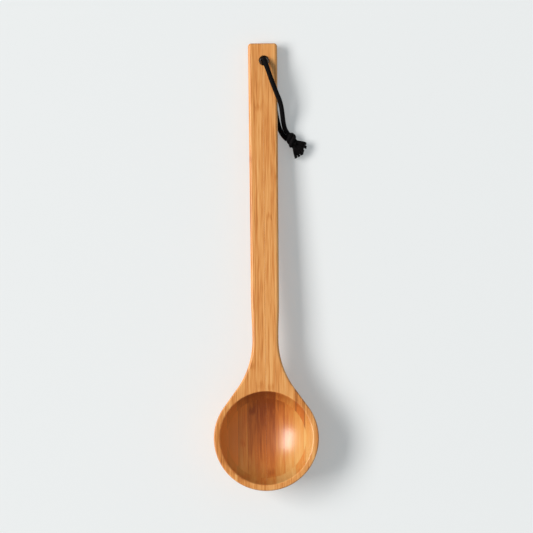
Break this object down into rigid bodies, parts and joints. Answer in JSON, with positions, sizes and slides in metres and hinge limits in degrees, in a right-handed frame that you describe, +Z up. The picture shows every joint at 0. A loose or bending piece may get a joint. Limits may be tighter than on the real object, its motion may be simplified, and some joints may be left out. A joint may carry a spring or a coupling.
{
  "type": "sauna ladle",
  "caption": "Sauna ladle of laminated bamboo: a long flat handle that widens into a turned round bowl, with a knotted hanging loop of black cord.",
  "frame": {"origin": "on the table the ladle lies on, under the middle of the wood's box", "axes": "+Y along the handle from the bowl to the tip, +Z up from the table, +X to the right of the handle seen from above with the tip away from the viewer"},
  "size_m": [0.0934, 0.3994, 0.0373],
  "materials": {
    "bamboo_board": "satin clear-coated laminated bamboo, straight grain",
    "bamboo_bowl": "satin clear-coated laminated bamboo, turned",
    "cord_black": "matte black braided cord"
  },
  "bodies": {
    "ladle": {"handle_stave_left_1": "bamboo_board", "handle_stave_left_2": "bamboo_board", "handle_stave_right_1": "bamboo_board", "handle_stave_right_2": "bamboo_board", "shoulder_stave_left_3": "bamboo_board", "shoulder_stave_left_4": "bamboo_board", "shoulder_stave_right_3": "bamboo_board", "shoulder_stave_right_4": "bamboo_board", "rim_side_left_5": "bamboo_board", "rim_side_left_6": "bamboo_board", "rim_side_right_5": "bamboo_board", "rim_side_right_6": "bamboo_board", "far_rim_left_1": "bamboo_board", "far_rim_left_2": "bamboo_board", "far_rim_left_3": "bamboo_board", "far_rim_left_4": "bamboo_board", "far_rim_right_1": "bamboo_board", "far_rim_right_2": "bamboo_board", "far_rim_right_3": "bamboo_board", "far_rim_right_4": "bamboo_board", "bowl_stave_left_1": "bamboo_bowl", "bowl_stave_left_2": "bamboo_bowl", "bowl_stave_left_3": "bamboo_bowl", "bowl_stave_left_4": "bamboo_bowl", "bowl_stave_left_5": "bamboo_bowl", "bowl_stave_left_6": "bamboo_bowl", "bowl_stave_right_1": "bamboo_bowl", "bowl_stave_right_2": "bamboo_bowl", "bowl_stave_right_3": "bamboo_bowl", "bowl_stave_right_4": "bamboo_bowl", "bowl_stave_right_5": "bamboo_bowl", "bowl_stave_right_6": "bamboo_bowl"},
    "cord_loop": {"cord_front_strand": "cord_black", "cord_back_strand": "cord_black", "cord_knot": "cord_black", "cord_end_upper": "cord_black", "cord_end_lower": "cord_black"}
  },
  "joints": [
    {"name": "cord_swing", "type": "hinge", "parent": "ladle", "child": "cord_loop", "pos_m": [0.0012, 0.18374, 0.00903], "axis": [0, 0.063, 0.998], "range_deg": [0, 310]}
  ]
}
